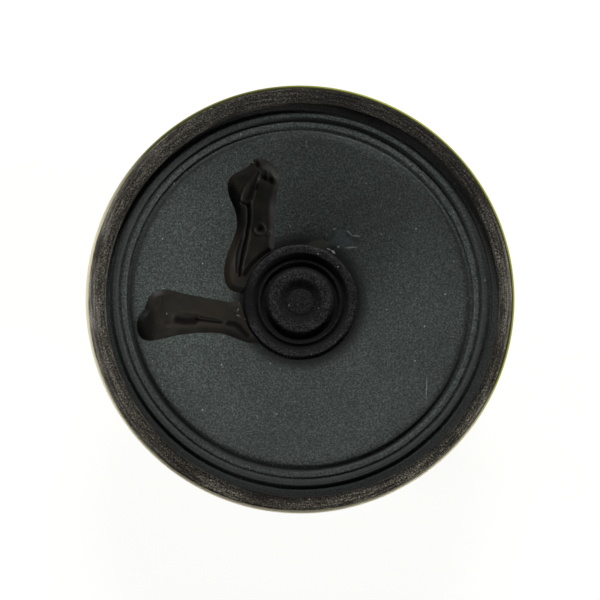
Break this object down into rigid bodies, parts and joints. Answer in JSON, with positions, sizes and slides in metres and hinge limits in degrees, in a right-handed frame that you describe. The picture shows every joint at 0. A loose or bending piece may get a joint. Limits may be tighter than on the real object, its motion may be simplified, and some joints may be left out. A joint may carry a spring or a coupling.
{
  "type": "loudspeaker driver",
  "caption": "Round moving-coil loudspeaker driver with a paper cone, pleated edge, felted dust cap, pressed steel basket and ferrite ring magnet.",
  "frame": {"origin": "centre of the back plate's rear face, on which the driver rests", "axes": "+Z along the driver's axis, out of the front of the cone; +X to the right and +Y up as the front is seen"},
  "size_m": [0.066, 0.066, 0.026],
  "materials": {
    "zinc_steel": "steel sheet, yellow-passivated zinc",
    "plated_steel": "turned steel, bright zinc",
    "ferrite": "ground and moulded hard ferrite",
    "cone_paper": "felted paper pulp, dyed grey-black",
    "edge_paper": "doped paper pulp",
    "cap_felt": "pressed felted paper, dyed black",
    "gasket_board": "pressed board, rough",
    "glue": "dark contact cement, glossy and lumpy",
    "copper": "enamelled copper wire",
    "tinsel": "copper tinsel braided on thread",
    "former_paper": "kraft paper, varnished",
    "spider_cloth": "resin-stiffened cotton cloth",
    "phenolic": "paper-base phenolic laminate",
    "brass": "drawn brass",
    "tinned_brass": "brass sheet, dip-tinned",
    "solder": "tin-lead solder, smooth"
  },
  "bodies": {
    "frame": {"back_plate": "plated_steel", "magnet_ring": "ferrite", "top_plate": "plated_steel", "pole_piece": "plated_steel", "basket": "zinc_steel", "plate_rivets": "zinc_steel", "gasket_ring": "gasket_board", "terminal_board": "phenolic", "terminal_lug_upper": "tinned_brass", "terminal_lug_left": "tinned_brass", "lug_eyelets": "brass", "board_rivet": "zinc_steel", "lug_solder_upper": "solder", "lug_solder_left": "solder"},
    "cone_assembly": {"cone": "cone_paper", "surround": "edge_paper", "dust_cap": "cap_felt", "voice_coil_former": "former_paper", "voice_coil_winding": "copper", "neck_glue": "glue", "spider": "spider_cloth", "glue_track_upper": "glue", "glue_track_left": "glue", "coil_lead_upper": "copper", "coil_lead_left": "copper", "cone_eyelets": "brass", "tinsel_lead_upper": "tinsel", "tinsel_lead_left": "tinsel"}
  },
  "joints": [
    {"name": "cone_travel", "type": "slide", "parent": "frame", "child": "cone_assembly", "axis": [0, 0, 1], "range_m": [-0.001, 0.001], "stiffness_N_per_m": 300, "deforming": ["surround", "spider", "tinsel_lead_upper", "tinsel_lead_left"]}
  ]
}
